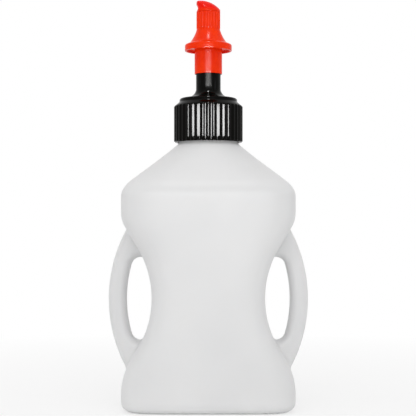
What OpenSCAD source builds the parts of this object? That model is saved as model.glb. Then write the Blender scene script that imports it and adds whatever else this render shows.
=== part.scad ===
// Quick-fill fuel jug: a blown white tank with two side handles, a ribbed screw cap with a fixed
// stem, and a red spring-loaded nozzle sleeve that slides on the stem to open the valve.
// Millimetres, +Z up. The origin is the middle of the foot; the handles lie along X, the front is -Y.

/* [Jug body] */
// Width of the body at its foot and at its shoulder
body_w = 220; // [212:1:226]
// Depth of the body, front to back
body_d = 190; // [176:1:200]
// Width of the body at its waist
waist_w = 143; // [138:1:150]
// Height of the waist's narrowest line
waist_z = 141; // [138:1:146]
// Radius of the waist's curve, seen from the front
waist_r = 122; // [110:1:130]
// Slope of the body's sides above and below the waist, from upright
side_slope = 31; // [29:0.5:33]
// Radius of the side's bend below the shoulder
upper_bend_r = 36; // [28:1:44]
// Radius of the side's bend above the foot
lower_bend_r = 80; // [60:1:86]
// Height of the shoulder's edge, where the upright walls end
shoulder_z = 279; // [272:1:288]
// Length of the rounding on each side of the shoulder's edge
shoulder_round = 10; // [6:1:14]
// Radius of the rounding round the foot
foot_r = 12; // [8:1:16]
// Width of the flat ring that the jug stands on
foot_ring_w = 10; // [6:1:14]
// Height of the hollow under the base
push_up_h = 4; // [2:0.5:6]
// Squareness of the body's plan: 2 is an ellipse, and more is squarer
squareness = 6.5; // [5:0.5:8]
// Thickness of the blown wall
wall = 3; // [2:0.5:4]

/* [Handles] */
// How far each handle stands out past the body's side
handle_reach = 19; // [16:0.5:22]
// Radius of each handle's outer edge, seen from the front
handle_r = 188; // [180:1:196]
// Height of the handles' middle
handle_z = 138; // [134:1:142]
// Width of each handle, seen from the front
handle_w = 23; // [20:0.5:26]
// Depth of each handle, front to back
handle_d = 30; // [26:1:36]
// Half the height of each finger hole
hole_half_h = 54; // [50:1:56]
// Radius of the finger hole's ends
hole_end_r = 8.5; // [7:0.5:10]

/* [Neck and thread] */
// Height of the neck's foot, where the shoulder ends
neck_z = 338; // [332:1:344]
// Height of the neck
neck_h = 45; // [42:1:50]
// Outer radius of the neck
neck_r = 38; // [36.5:0.5:39]
// Radius of the neck's bore
neck_bore_r = 34.5; // [33:0.5:35]
// Pitch of the thread
thread_pitch = 6; // [5.5:0.25:7]
// Height of the thread's ridge
thread_h = 1.5; // [1.2:0.1:1.8]
// Turns of thread on the neck and in the cap
thread_turns = 1.75; // [1.25:0.25:2.5]
// Clearance between the neck's thread and the cap
thread_gap = 0.5; // [0.4:0.05:0.7]
// Thickness of the cap's gasket
gasket_h = 3; // [2:0.5:4]
// Width of the gasket's ring
gasket_w = 5.5; // [4.5:0.5:6]

/* [Screw cap and stem] */
// Thickness of the cap's skirt between its ribs
cap_wall = 3.4; // [3:0.1:3.8]
// Height of the cap's grip ribs
rib_h = 1.2; // [0.8:0.1:1.6]
// Number of grip ribs
rib_count = 38; // [34:2:42]
// Gap between the cap's lower edge and the neck's foot
cap_foot_gap = 2.5; // [1:0.1:3]
// Chamfer at the lower ends of the grip ribs
rib_end = 0.6; // [0.4:0.1:1]
// Height of the smooth rim under the ribs
cap_rim_h = 0.9; // [0.6:0.1:2]
// Radius of the raised step on top of the cap
cap_step_r = 37.3; // [36:0.1:38]
// Height of the stem's foot above the gasket's seat
stem_foot_h = 22; // [20:1:26]
// Height of the flare at the stem's foot
stem_flare_h = 9; // [7:0.5:11]
// Width of the flare at the stem's foot
stem_flare_w = 9.5; // [7:0.5:11]
// Outer radius of the stem
stem_r = 16; // [15:0.25:16.5]
// Radius of the stem's bore
stem_bore_r = 12; // [11.5:0.25:12.5]

/* [Nozzle sleeve] */
// How far the sleeve can be pushed down the stem
travel = 20; // [16:1:24]
// Running gap between the stem and the sleeve's bore
sleeve_gap = 0.3; // [0.2:0.05:0.4]
// Outer radius of the sleeve's collar
collar_r = 17.9; // [17.7:0.1:19]
// Height of the collar, up to the brim's lower edge
collar_h = 30.2; // [28:0.2:34]
// Outer radius of the brim
brim_r = 30.5; // [28:0.5:33]
// Height of the brim's upright edge
brim_h = 5.6; // [4.6:0.2:6.4]
// Thickness of the brim
brim_wall = 2.6; // [2:0.1:3]
// Radius of the bell where it meets the brim
bell_r = 23.2; // [22:0.2:25]
// How hollow the bell's curve is: 0 is a plain cone
bell_hollow = 0.54; // [0.2:0.02:0.8]
// Height of the bell above the brim
bell_h = 20; // [18:0.5:22]
// Outer radius of the tip between its ribs
tip_r = 14.8; // [14.6:0.1:15.4]
// Height of the tip above the bell
tip_h = 20.4; // [18:0.2:24]
// Radius of the tip's bore
tip_bore_r = 12.2; // [11.8:0.1:12.6]
// Height of the tip's ribs
tip_rib_h = 0.7; // [0.4:0.1:1]
// Number of the tip's ribs
tip_rib_count = 22; // [16:1:28]
// Length over which each of the tip's ribs rises out of the bell
tip_rib_lead = 3; // [2:0.5:4]
// Thickness of the ledge that the spring pushes on
ledge_h = 3.5; // [3:0.5:5]
// Radius of the ledge's hole
ledge_hole_r = 8.5; // [8:0.25:9.5]

/* [Valve head] */
// Radius of the head's domed top, seen from the front
dome_r = 33.5; // [32:0.5:36]
// Depth of the dome, front to back, as a share of its width
dome_depth = 0.65; // [0.62:0.01:0.8]
// How far the dome's middle lies to the side of the axis
dome_shift = 10.5; // [8:0.5:11]
// Height of the head above the sleeve
head_h = 15.4; // [15:0.2:17]
// Radius of the rounding along the head's high edge
head_round = 3; // [1:0.5:4]
// Depth of the head's plug in the sleeve
plug_h = 8; // [7:0.5:9]
// Gap all round the head's plug
plug_gap = 0.3; // [0.2:0.05:0.5]
// Gap between the sleeve and the head when the valve is shut
shut_gap = 0.2; // [0.1:0.05:0.3]
// Radius of the vent notch in the head's side
notch_r = 4.6; // [4:0.1:5]
// Depth of the vent notch in the head's side
notch_depth = 2; // [1.5:0.1:2.5]
// Radius of the vent hole
vent_hole_r = 1.5; // [1:0.1:1.8]

/* [Rod, spider and spring] */
// Outer radius of the hollow valve rod
rod_r = 4; // [3.5:0.1:4.5]
// Radius of the rod's bore
rod_bore_r = 2.2; // [1.8:0.1:2.5]
// Assembly gap of the rod in the spider, the head and the vent tube
rod_gap = 0.05; // [0.03:0.01:0.08]
// Radius of the rod's foot
rod_foot_r = 6; // [5.5:0.1:6.4]
// Thickness of the rod's foot
rod_foot_h = 2; // [1.5:0.1:3]
// Height of the spider's ring
spider_h = 8; // [6:0.5:10]
// Width of the step that the spider's ring bears on
spider_step = 1.5; // [1.2:0.1:2]
// Radius of the spider's hub
hub_r = 5.6; // [5.4:0.1:6]
// Width of the spider's ring
spider_ring_w = 3.2; // [3:0.1:3.4]
// Thickness of each spider arm
arm_w = 2.4; // [2:0.2:3.2]
// Number of spider arms
arm_count = 3; // [3:1:5]
// Diameter of the spring's wire
wire_d = 1.6; // [1.4:0.1:1.8]
// Gap between the spring and the stem's bore
spring_gap = 0.8; // [0.6:0.1:1]
// Number of the spring's open turns
spring_turns = 7; // [5:1:8]
// Outer radius of the vent tube
vent_tube_r = 5.2; // [5:0.1:6]
// Length of the vent tube
vent_tube_l = 98; // [70:1:110]
// Length of the rod's nipple in the vent tube
nipple_l = 11; // [8:1:14]

/* [Seals] */
// Thickness of the stem's two seal rings
stem_ring_d = 1.9; // [1.6:0.1:2]
// Thickness of the head's seal ring
head_ring_d = 1.8; // [1.6:0.1:2]
// Distance of the upper seal ring from the stem's end
stem_ring_inset = 5; // [4:0.5:6]
// Distance between the stem's two seal rings
stem_ring_step = 6; // [5:0.5:8]
// Running gap between a seal ring and the bore that it seals
seal_gap = 0.03; // [0.02:0.01:0.05]

/* [Hidden] */

// Points round the body's plan, and round a handle's section
plan_points = 48;
inner_plan_points = 32;
handle_points = 16;
// Steps in each bend of the body's side, and in its shoulder
bend_steps = 4;
waist_steps = 8;
shoulder_steps = 6;
// Steps in a rounded corner of a turned profile
corner_steps = 6;
// Steps in one turn of the thread and of the spring
thread_steps = 36;
coil_steps = 20;
wire_sides = 8;
// How far pieces of one node reach into each other, so that they join
bite = 0.6;
// How far a cutter reaches past the face that it cuts
over = 1;
// Where the curve of the stem's flare turns, out from the stem and up from the cap's top
flare_turn = [1.6, 2.9];
// Half the width of a rib at its foot and at its crest, as a share of the distance between ribs
rib_foot_share = 0.41;
rib_crest_share = 0.09;
// How far the step's side reaches down into the cap's chamfer
step_drop = 0.9;
// How far the grip ribs' sloped tops lie under the cap's chamfer
rib_drop = 0.2;
turned_fn = 96;
bore_fn = 48;
wire_fn = 32;

// The body's side, seen from the front: a waist arc, a straight slope and a bend on each side of it
half_w = body_w / 2;
half_d = body_d / 2;
half_waist = waist_w / 2;
function slope_run(bend_r) =
    (half_w - half_waist - (waist_r + bend_r) * (1 - cos(side_slope))) / sin(side_slope);
function side_rise(bend_r) =
    (waist_r + bend_r) * sin(side_slope) + slope_run(bend_r) * cos(side_slope);
upper_bend_z = waist_z + side_rise(upper_bend_r);
lower_bend_z = waist_z - side_rise(lower_bend_r);

// The shoulder runs straight from its edge to the neck's foot
neck_foot_r = neck_r + 1.5;
shoulder_rise = neck_z - shoulder_z;
shoulder_slope = atan2(half_w - neck_foot_r, shoulder_rise);

// Heights up the neck, the cap, the stem and the nozzle
rim_z = neck_z + neck_h;
seat_z = rim_z + gasket_h;
cap_foot_z = neck_z + cap_foot_gap;
cap_top_z = seat_z + stem_foot_h - stem_flare_h;
stem_foot_z = seat_z + stem_foot_h;
spider_top_z = stem_foot_z - 5;
sleeve_foot_z = stem_foot_z + travel + 1.2;
brim_z = sleeve_foot_z + collar_h;
bell_z = brim_z + brim_h + 4;
tip_z = bell_z + bell_h;
sleeve_top_z = tip_z + tip_h;
ledge_z = bell_z + bell_h / 2 - 0.5;
stem_top_z = ledge_z - travel - 1.5;
head_z = sleeve_top_z + shut_gap;
head_top_z = head_z + head_h;

// Radii of the cap's bore and skirt
cap_bore_r = neck_r + thread_h + thread_gap;
cap_root_r = cap_bore_r + cap_wall;
cap_crest_r = cap_root_r + rib_h;
thread_z = neck_z + 14;
// The cap's ridge lies under the neck's, a little clear of it
ridge_root_half = 1.5;
ridge_crest_half = 0.8;
ridge_drop = ridge_root_half + ridge_crest_half + 0.4;

sleeve_bore_r = stem_r + sleeve_gap;
spring_r = stem_bore_r - spring_gap - wire_d / 2;
spider_r = stem_bore_r + spider_step;

// Points of an arc round c with radius r, from angle a to angle b
function arc(c, r, a, b, steps = corner_steps) =
    [for (i = [0 : steps]) c + r * [cos(a + (b - a) * i / steps), sin(a + (b - a) * i / steps)]];

// Points of a curve that leaves a towards c and comes to b from c
function bow(a, c, b, steps = corner_steps) =
    [for (i = [0 : steps]) let (t = i / steps) (1 - t) * (1 - t) * a + 2 * t * (1 - t) * c + t * t * b];

function power(v, e) = sign(v) * pow(abs(v), e);

// A superellipse of half-sizes a and b and squareness p, with its points spread by their normals
function plan_ring(a, b, p, z, n) = [
    for (i = [0 : n - 1])
        let (t = 360 * (i + 0.5) / n, u = power(a * cos(t), 1 / (p - 1)), v = power(b * sin(t), 1 / (p - 1)),
             s = pow(pow(abs(u), p) + pow(abs(v), p), -1 / p))
        [a * u * s, b * v * s, z]
];

// Heights and half-sizes [z, a, b, squareness] of the body, from its foot up; inset shrinks it all round
function body_sizes(inset) =
    let (a = half_w - inset, b = half_d - inset, foot = foot_r - inset,
         edge_z = shoulder_z - inset * tan(shoulder_slope / 2),
         top_r = inset > 0 ? neck_bore_r - over : neck_foot_r,
         top_z = neck_z + (neck_foot_r - top_r) * shoulder_rise / (half_w - neck_foot_r)
                 - inset / sin(shoulder_slope))
    concat(
        [for (p = arc([0, foot_r], foot, -90, 0))
            [p[1], a - foot + p[0], b - foot + p[0], squareness]],
        [for (p = arc([half_w - lower_bend_r, lower_bend_z], lower_bend_r - inset, 0, side_slope,
                      bend_steps))
            [p[1], p[0], b, squareness]],
        [for (p = arc([half_waist + waist_r, waist_z], waist_r + inset, 180 + side_slope, 180 - side_slope,
                      waist_steps))
            [p[1], p[0], b, squareness]],
        [for (p = arc([half_w - upper_bend_r, upper_bend_z], upper_bend_r - inset, -side_slope, 0,
                      bend_steps))
            [p[1], p[0], b, squareness]],
        [for (i = [0 : shoulder_steps])
            let (t = i / shoulder_steps, run = shoulder_round / (top_z - edge_z), f = t * t * run)
            [edge_z - shoulder_round * pow(1 - t, 2) + shoulder_round * t * t,
             a + (top_r - a) * f, b + (top_r - b) * f, squareness]],
        [for (i = [1 : shoulder_steps])
            let (run = shoulder_round / (top_z - edge_z), t = i / shoulder_steps, f = run + (1 - run) * t)
            [edge_z + (top_z - edge_z) * f, a + (top_r - a) * f, b + (top_r - b) * f,
             squareness + (2 - squareness) * sin(90 * t)]]
    );

// A closed skin over rings of points, each ring running anticlockwise seen from its far end
module skin(rings) {
    n = len(rings[0]);
    m = len(rings);
    polyhedron(
        points = [for (ring = rings) each ring],
        faces = concat(
            [[for (j = [0 : n - 1]) j]],
            [for (i = [0 : m - 2]) for (j = [0 : n - 1])
                let (k = (j + 1) % n)
                each [[i * n + j, (i + 1) * n + j, (i + 1) * n + k],
                      [i * n + j, (i + 1) * n + k, i * n + k]]],
            [[for (j = [n - 1 : -1 : 0]) (m - 1) * n + j]]
        ),
        convexity = 8
    );
}

module body_form(inset, n) {
    skin([for (s = body_sizes(inset)) plan_ring(s[1], s[2], s[3], s[0], n)]);
}

// The hollow under the base: a shallow block with sloped sides, grown all round by the given amount
module push_up(grow) {
    edge = foot_r + foot_ring_w - grow;
    skin([
        plan_ring(half_w - edge + over, half_d - edge + over, squareness, -over, inner_plan_points),
        plan_ring(half_w - edge - push_up_h, half_d - edge - push_up_h, squareness, push_up_h + grow,
                  inner_plan_points)
    ]);
}

// One handle: a tube along an arc, widened towards the body past the ends of the finger hole
module handle_form(inset, flare) {
    reach = half_w + handle_reach - handle_r;
    edge = handle_r - handle_w;
    root = asin((hole_half_h - hole_end_r) / edge);
    end = root + 16;
    turns = concat([for (i = [-6 : 6]) root * i / 6], [for (i = [1 : 5]) root + 3.2 * i / 5], [end]);
    angles = concat([for (i = [len(turns) - 1 : -1 : 13]) -turns[i]], turns);
    skin([
        for (t = angles)
            let (past = max(0, abs(edge * sin(t)) - hole_half_h + hole_end_r),
                 swell = flare ? (past < hole_end_r
                     ? hole_end_r - sqrt(pow(hole_end_r, 2) - past * past) : 2.6 * hole_end_r) : 0,
                 low = edge + inset - swell, high = handle_r - inset)
            [for (p = plan_ring((high - low) / 2, handle_d / 2 - inset, 3, 0, handle_points))
                let (r = (high + low) / 2 + p[0]) [reach + r * cos(t), p[1], handle_z + r * sin(t)]]
    ]);
}

// A helical ridge on a surface of radius surface_r, inwards or outwards, that fades at both ends
module thread_ridge(surface_r, outwards, start_z) {
    side = outwards ? 1 : -1;
    count = round(thread_turns * thread_steps);
    sections = [
        for (i = [0 : count])
            let (t = 360 * i / thread_steps, z = start_z + thread_pitch * i / thread_steps,
                 fade = min(1, min(i, count - i) * 4 / thread_steps),
                 crest = surface_r + side * (thread_h * fade - 0.1 * (1 - fade)),
                 root = surface_r - side * bite,
                 profile = [[root, -ridge_root_half], [crest, -ridge_crest_half],
                            [crest, ridge_crest_half], [root, ridge_root_half]])
            [for (j = [0 : 3])
                let (p = profile[outwards ? 3 - j : j])
                [p[0] * cos(t), p[0] * sin(t), z + p[1]]]
    ];
    skin(sections);
}

// A toothed outline: count ribs that rise from root_r to crest_r, with the first one half a step round
module ribbed_outline(root_r, crest_r, count) {
    step = 360 / count;
    polygon([
        for (i = [0.5 : count - 0.5])
            for (k = [[-rib_foot_share, root_r], [-rib_crest_share, crest_r],
                      [rib_crest_share, crest_r], [rib_foot_share, root_r]])
                k[1] * [cos(step * (i + k[0])), sin(step * (i + k[0]))]
    ]);
}

module ring_seal(middle_r, ring_d, z) {
    translate([0, 0, z])
        rotate_extrude($fn = turned_fn) translate([middle_r, 0]) circle(d = ring_d, $fn = wire_fn);
}

module tube(outer_r, inner_r, z, h) {
    translate([0, 0, z]) difference() {
        cylinder(r = outer_r, h = h, $fn = turned_fn);
        translate([0, 0, -1]) cylinder(r = inner_r, h = h + 2, $fn = turned_fn);
    }
}

// The blown tank with its handles, its neck and the neck's thread, in one piece
module jug_body() {
    color("whitesmoke") {
        difference() {
            union() {
                body_form(0, plan_points);
                for (side = [0, 1]) mirror([side, 0, 0]) handle_form(0, true);
                translate([0, 0, neck_z - bite]) cylinder(r = neck_r, h = neck_h + bite, $fn = turned_fn);
                thread_ridge(neck_r, true, thread_z);
            }
            difference() {
                body_form(wall, inner_plan_points);
                push_up(wall);
            }
            for (side = [0, 1]) mirror([side, 0, 0]) handle_form(wall, false);
            translate([0, 0, neck_z - 2 * wall])
                cylinder(r = neck_bore_r, h = neck_h + 3 * wall, $fn = turned_fn);
            push_up(0);
        }
    }
}

module neck_gasket() {
    color("dimgray") tube(cap_bore_r - thread_gap, cap_bore_r - thread_gap - gasket_w, rim_z, gasket_h);
}

// The cap's turned outline without its ribs, from the skirt's lower edge to the stem's end
function cap_outline() =
    let (chamfer_r = cap_step_r + 0.4)
    concat(
        [[0, cap_foot_z], [cap_root_r - 0.8, cap_foot_z], [cap_root_r, cap_foot_z + 0.8],
         [cap_root_r, seat_z + 0.8 + rib_h],
         [chamfer_r, seat_z + 0.8 + cap_crest_r - chamfer_r - step_drop]],
        arc([cap_step_r - 3.4, cap_top_z - 4.6], 3.4, 0, 80),
        bow([stem_r + stem_flare_w, cap_top_z], [stem_r + flare_turn[0], cap_top_z + flare_turn[1]],
            [stem_r, stem_foot_z + flare_turn[0] / 2]),
        [[stem_r, stem_top_z - 1.2], [stem_r - 1.2, stem_top_z], [0, stem_top_z]]
    );

// The cap's hollow: the skirt's bore, the recess inside the gasket's seat and the stem's stepped bore
function cap_hollow() =
    let (recess_r = neck_bore_r - 1.5, recess_z = cap_top_z - 5)
    [[0, cap_foot_z - 1], [cap_bore_r + 1, cap_foot_z - 1], [cap_bore_r + 1, cap_foot_z],
     [cap_bore_r, cap_foot_z + 1], [cap_bore_r, seat_z], [recess_r, seat_z], [recess_r, recess_z - 2],
     [recess_r - 3, recess_z], [spider_r, recess_z], [spider_r, spider_top_z], [stem_bore_r, spider_top_z],
     [stem_bore_r, stem_top_z + 1], [0, stem_top_z + 1]];

stem_ring_r = sleeve_bore_r - seal_gap - stem_ring_d / 2;
upper_ring_z = stem_top_z - stem_ring_inset;
lower_ring_z = upper_ring_z - stem_ring_step;

module seal_groove(z) {
    tube(stem_r + 1, stem_ring_r - stem_ring_d / 2 - 0.02, z - stem_ring_d / 2 - 0.15, stem_ring_d + 0.3);
}

// The cap and its stem, moulded in one piece
module screw_cap() {
    rib_foot = cap_foot_z + cap_rim_h;
    rib_top = seat_z + 0.8;
    color("black") {
        difference() {
            union() {
                rotate_extrude($fn = turned_fn) polygon(cap_outline());
                intersection() {
                    translate([0, 0, rib_foot]) linear_extrude(rib_top + rib_h + bite - rib_foot)
                        ribbed_outline(cap_root_r - bite, cap_crest_r, rib_count);
                    rotate_extrude($fn = turned_fn) polygon([
                        [0, rib_foot - over], [cap_crest_r - rib_end - over, rib_foot - over],
                        [cap_crest_r + over, rib_foot + rib_end + over],
                        [cap_crest_r + over, rib_top - rib_drop - over],
                        [cap_root_r - over, rib_top + rib_h - rib_drop + over],
                        [0, rib_top + rib_h - rib_drop + over]
                    ]);
                }
            }
            rotate_extrude($fn = turned_fn) polygon(cap_hollow());
            seal_groove(upper_ring_z);
            seal_groove(lower_ring_z);
        }
        thread_ridge(cap_bore_r, false, thread_z - ridge_drop);
    }
}

module stem_seal_upper() {
    color("#222222") ring_seal(stem_ring_r, stem_ring_d, upper_ring_z);
}

module stem_seal_lower() {
    color("#222222") ring_seal(stem_ring_r, stem_ring_d, lower_ring_z);
}

hub_foot_z = spider_top_z - spider_h - 2;

// The ring, hub and arms that hold the rod in the stem's foot
module valve_spider() {
    inner_r = spider_r - rod_gap - spider_ring_w;
    color("#2b2b2b") {
        difference() {
            union() {
                tube(spider_r - rod_gap, inner_r, spider_top_z - spider_h, spider_h);
                translate([0, 0, hub_foot_z])
                    cylinder(r = hub_r, h = spider_top_z - hub_foot_z, $fn = turned_fn);
                for (i = [0 : arm_count - 1])
                    rotate([0, 0, 90 + 360 * i / arm_count])
                        translate([rod_r + 1, -arm_w / 2, spider_top_z - spider_h])
                            cube([inner_r - rod_r - 0.5, arm_w, spider_h]);
            }
            translate([0, 0, hub_foot_z - 1])
                cylinder(r = rod_r + rod_gap, h = spider_h + 4, $fn = turned_fn);
        }
    }
}

rod_top_z = head_z + 3;

// The hollow rod, with the foot that bears under the spider's hub and a nipple for the vent tube
module valve_rod() {
    foot_z = hub_foot_z - rod_foot_h;
    color("#b9b9b4") {
        difference() {
            union() {
                translate([0, 0, foot_z - nipple_l])
                    cylinder(r = rod_r, h = rod_top_z - foot_z + nipple_l, $fn = turned_fn);
                translate([0, 0, foot_z]) cylinder(r = rod_foot_r, h = rod_foot_h, $fn = turned_fn);
            }
            translate([0, 0, foot_z - nipple_l - 1])
                cylinder(r = rod_bore_r, h = rod_top_z - foot_z + nipple_l + 2, $fn = turned_fn);
        }
    }
}

module vent_tube() {
    color("#3a3a3a")
        tube(vent_tube_r, rod_r + rod_gap, hub_foot_z - rod_foot_h - vent_tube_l, vent_tube_l);
}

// The return spring: closed end turns on the spider and under the sleeve's ledge, open turns between
module return_spring() {
    low = spider_top_z + wire_d / 2;
    rise = ledge_z - spider_top_z - wire_d;
    open_rise = (rise - 2 * wire_d) / spring_turns;
    count = (spring_turns + 2) * coil_steps;
    color("silver") {
        skin([
            for (i = [0 : count])
                let (turn = i / coil_steps, t = 360 * turn,
                     z = low + wire_d * min(turn, 1) + open_rise * max(0, min(turn - 1, spring_turns))
                         + wire_d * max(0, turn - 1 - spring_turns))
                [for (j = [0 : wire_sides - 1])
                    let (s = -360 * j / wire_sides, r = spring_r + wire_d / 2 * cos(s))
                    [r * cos(t), r * sin(t), z + wire_d / 2 * sin(s)]]
        ]);
    }
}

// The sleeve's turned outline: the collar, the brim, the bell and the tip between its ribs
function sleeve_outline() =
    concat(
        [[0, sleeve_foot_z], [collar_r - 0.6, sleeve_foot_z], [collar_r, sleeve_foot_z + 0.8],
         [collar_r, brim_z + brim_wall], [brim_r - brim_wall, brim_z + brim_wall],
         [brim_r - brim_wall, brim_z], [brim_r - 1, brim_z], [brim_r, brim_z + 1]],
        arc([brim_r - 4, brim_z + brim_h], 4, 0, 75),
        arc([bell_r + 3, bell_z + 2.4], 2.4, 270, 215, 3),
        bell_curve(),
        [[tip_r, sleeve_top_z - 0.5], [tip_r - 0.5, sleeve_top_z], [0, sleeve_top_z]]
    );

// The bell's curve, a cone with a hollow side
function bell_curve() =
    [for (i = [1 : 2 * corner_steps])
        let (t = i / (2 * corner_steps), low = bell_z + 2)
        [bell_r + (tip_r - bell_r) * t * (1 + bell_hollow * (1 - t)), low + (tip_z - low) * t]];

// The red sleeve that slides on the stem and carries the valve's seat
module nozzle_sleeve() {
    color("orangered") {
        difference() {
            union() {
                rotate_extrude($fn = turned_fn) polygon(sleeve_outline());
                intersection() {
                    translate([0, 0, tip_z - tip_rib_lead]) linear_extrude(tip_h + tip_rib_lead)
                        ribbed_outline(tip_r - bite, tip_r + tip_rib_h, tip_rib_count);
                    rotate_extrude($fn = turned_fn) polygon([
                        [0, tip_z - tip_rib_lead], [tip_r, tip_z - tip_rib_lead],
                        [tip_r + 2 * tip_rib_h, tip_z + tip_rib_lead],
                        [tip_r + 2 * tip_rib_h, sleeve_top_z - 2 * tip_rib_h], [tip_r, sleeve_top_z],
                        [0, sleeve_top_z]
                    ]);
                }
            }
            rotate_extrude($fn = turned_fn) polygon([
                [0, sleeve_foot_z - 1], [sleeve_bore_r + 0.6, sleeve_foot_z - 1],
                [sleeve_bore_r + 0.6, sleeve_foot_z], [sleeve_bore_r, sleeve_foot_z + 0.6],
                [sleeve_bore_r, ledge_z], [ledge_hole_r, ledge_z], [ledge_hole_r, ledge_z + ledge_h],
                [tip_bore_r, ledge_z + 2 * ledge_h], [tip_bore_r, sleeve_top_z + 1], [0, sleeve_top_z + 1]
            ]);
        }
    }
}

plug_r = tip_bore_r - plug_gap;
head_ring_r = tip_bore_r - seal_gap - head_ring_d / 2;
head_ring_z = head_z - plug_h / 2;
notch_z = head_z + 5.2;

// The fixed head that shuts the sleeve: a leaning dome with a vent notch in its high side
module valve_head() {
    head_r = tip_r + tip_rib_h;
    color("red") {
        difference() {
            union() {
                intersection() {
                    rotate_extrude($fn = turned_fn) polygon(concat(
                        [[0, head_z], [head_r, head_z]],
                        arc([head_r - head_round, head_top_z - head_round], head_round, 0, 90),
                        [[0, head_top_z]]
                    ));
                    translate([-dome_shift, 0, head_top_z - dome_r])
                        scale([1, dome_depth, 1]) sphere(r = dome_r, $fn = 2 * turned_fn);
                }
                translate([0, 0, head_z - plug_h]) cylinder(r = plug_r, h = plug_h + 1, $fn = turned_fn);
            }
            tube(plug_r + 1, head_ring_r - head_ring_d / 2 - 0.02, head_ring_z - head_ring_d / 2 - 0.15,
                 head_ring_d + 0.3);
            translate([-head_r - notch_r + notch_depth, 0, notch_z])
                rotate([90, 0, 0])
                    cylinder(r = notch_r, h = 4 * notch_r + head_r, center = true, $fn = bore_fn);
            translate([0, 0, head_z - plug_h - 1])
                cylinder(r = rod_r + rod_gap, h = rod_top_z - head_z + plug_h + 1 + rod_gap, $fn = bore_fn);
            translate([0, 0, rod_top_z - 1])
                cylinder(r = rod_bore_r, h = notch_z - rod_top_z + 1, $fn = bore_fn);
            translate([-head_r, 0, notch_z])
                rotate([0, 90, 0]) cylinder(r = vent_hole_r, h = head_r, $fn = wire_fn);
        }
    }
}

module head_seal() {
    color("#222222") ring_seal(head_ring_r, head_ring_d, head_ring_z);
}

jug_body();
neck_gasket();
screw_cap();
stem_seal_upper();
stem_seal_lower();
valve_spider();
valve_rod();
vent_tube();
return_spring();
nozzle_sleeve();
valve_head();
head_seal();
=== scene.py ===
"""Fuel jug: a blown translucent tank with two side handles, a black screw cap and a red push-down nozzle.

Sizes are in millimetres in the jug's own frame: +Z up, the front towards -Y, and the origin in the middle of
the foot. Meshes are stored in metres.
"""

import logging
import math
from dataclasses import dataclass, field
from enum import Enum
from typing import Callable, Sequence

import bpy
import numpy as np
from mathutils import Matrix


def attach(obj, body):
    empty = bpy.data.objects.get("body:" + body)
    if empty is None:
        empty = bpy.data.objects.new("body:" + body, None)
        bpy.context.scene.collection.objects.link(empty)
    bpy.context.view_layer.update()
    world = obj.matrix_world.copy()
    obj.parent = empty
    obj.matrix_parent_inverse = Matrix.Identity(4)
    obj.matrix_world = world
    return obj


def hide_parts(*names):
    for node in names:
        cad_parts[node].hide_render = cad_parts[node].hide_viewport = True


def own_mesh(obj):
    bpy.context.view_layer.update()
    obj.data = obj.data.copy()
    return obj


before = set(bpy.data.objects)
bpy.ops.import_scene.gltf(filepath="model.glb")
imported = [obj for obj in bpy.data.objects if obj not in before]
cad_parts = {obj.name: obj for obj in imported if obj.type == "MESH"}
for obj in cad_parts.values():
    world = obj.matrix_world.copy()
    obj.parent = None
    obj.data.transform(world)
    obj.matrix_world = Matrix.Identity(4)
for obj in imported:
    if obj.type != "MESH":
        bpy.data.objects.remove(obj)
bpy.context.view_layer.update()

log = logging.getLogger("fuel_jug")
Array = np.ndarray
Field = Callable[[Array, Array, Array], Array]
Relief = Callable[[Array, Array, Array], Array]
Triple = tuple[float, float, float]
Socket = bpy.types.NodeSocket
MM = 0.001
EDGE_SHARE = 0.45
LONGEST_MOVE = 2.0
RIDGE_STEPS = 72
RIDGE_FADE = 0.12


class Slot(Enum):
    """The record's material slots of the pieces."""

    TANK = "translucent_plastic"
    CAP = "black_plastic"
    NOZZLE = "red_plastic"
    SEAL = "seal_rubber"
    SPRING = "spring_steel"
    ROD = "rod_metal"
    TUBE = "dark_tube"


class Body(Enum):
    """The bodies that move as one."""

    JUG = "jug"
    GASKET = "gasket"
    CAP = "cap"
    NOZZLE = "nozzle"


# Surfaces


@dataclass
class Surface:
    """Points in millimetres, the quads between them, and the polygons that close open ends."""

    points: Array
    quads: Array
    ends: list[Array] = field(default_factory=list)

    def joined(self, other: "Surface") -> "Surface":
        """This surface and another one, as one."""
        shift = len(self.points)
        return Surface(
            np.concatenate([self.points, other.points]),
            np.concatenate([self.quads, other.quads + shift]),
            self.ends + [end + shift for end in other.ends],
        )

    def outward(self) -> "Surface":
        """The surface with its faces turned so that the volume that they enclose is positive.

        The volume is a sixth of the sum, over the triangles, of the triple product of their corners.
        """
        corners = self.points[self.quads]
        first = np.einsum("ij,ij->i", corners[:, 0], np.cross(corners[:, 1], corners[:, 2])).sum()
        second = np.einsum("ij,ij->i", corners[:, 0], np.cross(corners[:, 2], corners[:, 3])).sum()
        if first + second > 0:
            return self
        return Surface(self.points, self.quads[:, ::-1], [end[::-1] for end in self.ends])

    def piece(self, name: str, body: Body, node: str, slot: Slot,
              finish: bpy.types.Material) -> bpy.types.Object:
        """Make a smooth mesh object that stands for a node of the frame.

        Args:
            name: Name of the new piece.
            body: Body that it rides on.
            node: Node that it replaces.
            slot: Material slot of the record; not used.
            finish: Material of its surface.

        Returns:
            The new object, at the origin, with its place in its mesh.
        """
        mesh = bpy.data.meshes.new(name)
        mesh.from_pydata(self.points * MM, [], self.quads.tolist() + [end.tolist() for end in self.ends])
        mesh.polygons.foreach_set("use_smooth", np.ones(len(mesh.polygons), bool))
        mesh.materials.append(finish)
        mesh.update()
        piece = bpy.data.objects.new(name, mesh)
        bpy.context.scene.collection.objects.link(piece)
        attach(piece, body.value)
        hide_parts(node)
        log.info("%s: %d points, %d faces, rides on %s", name, len(mesh.vertices), len(mesh.polygons),
                 body.value)
        return piece


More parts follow.
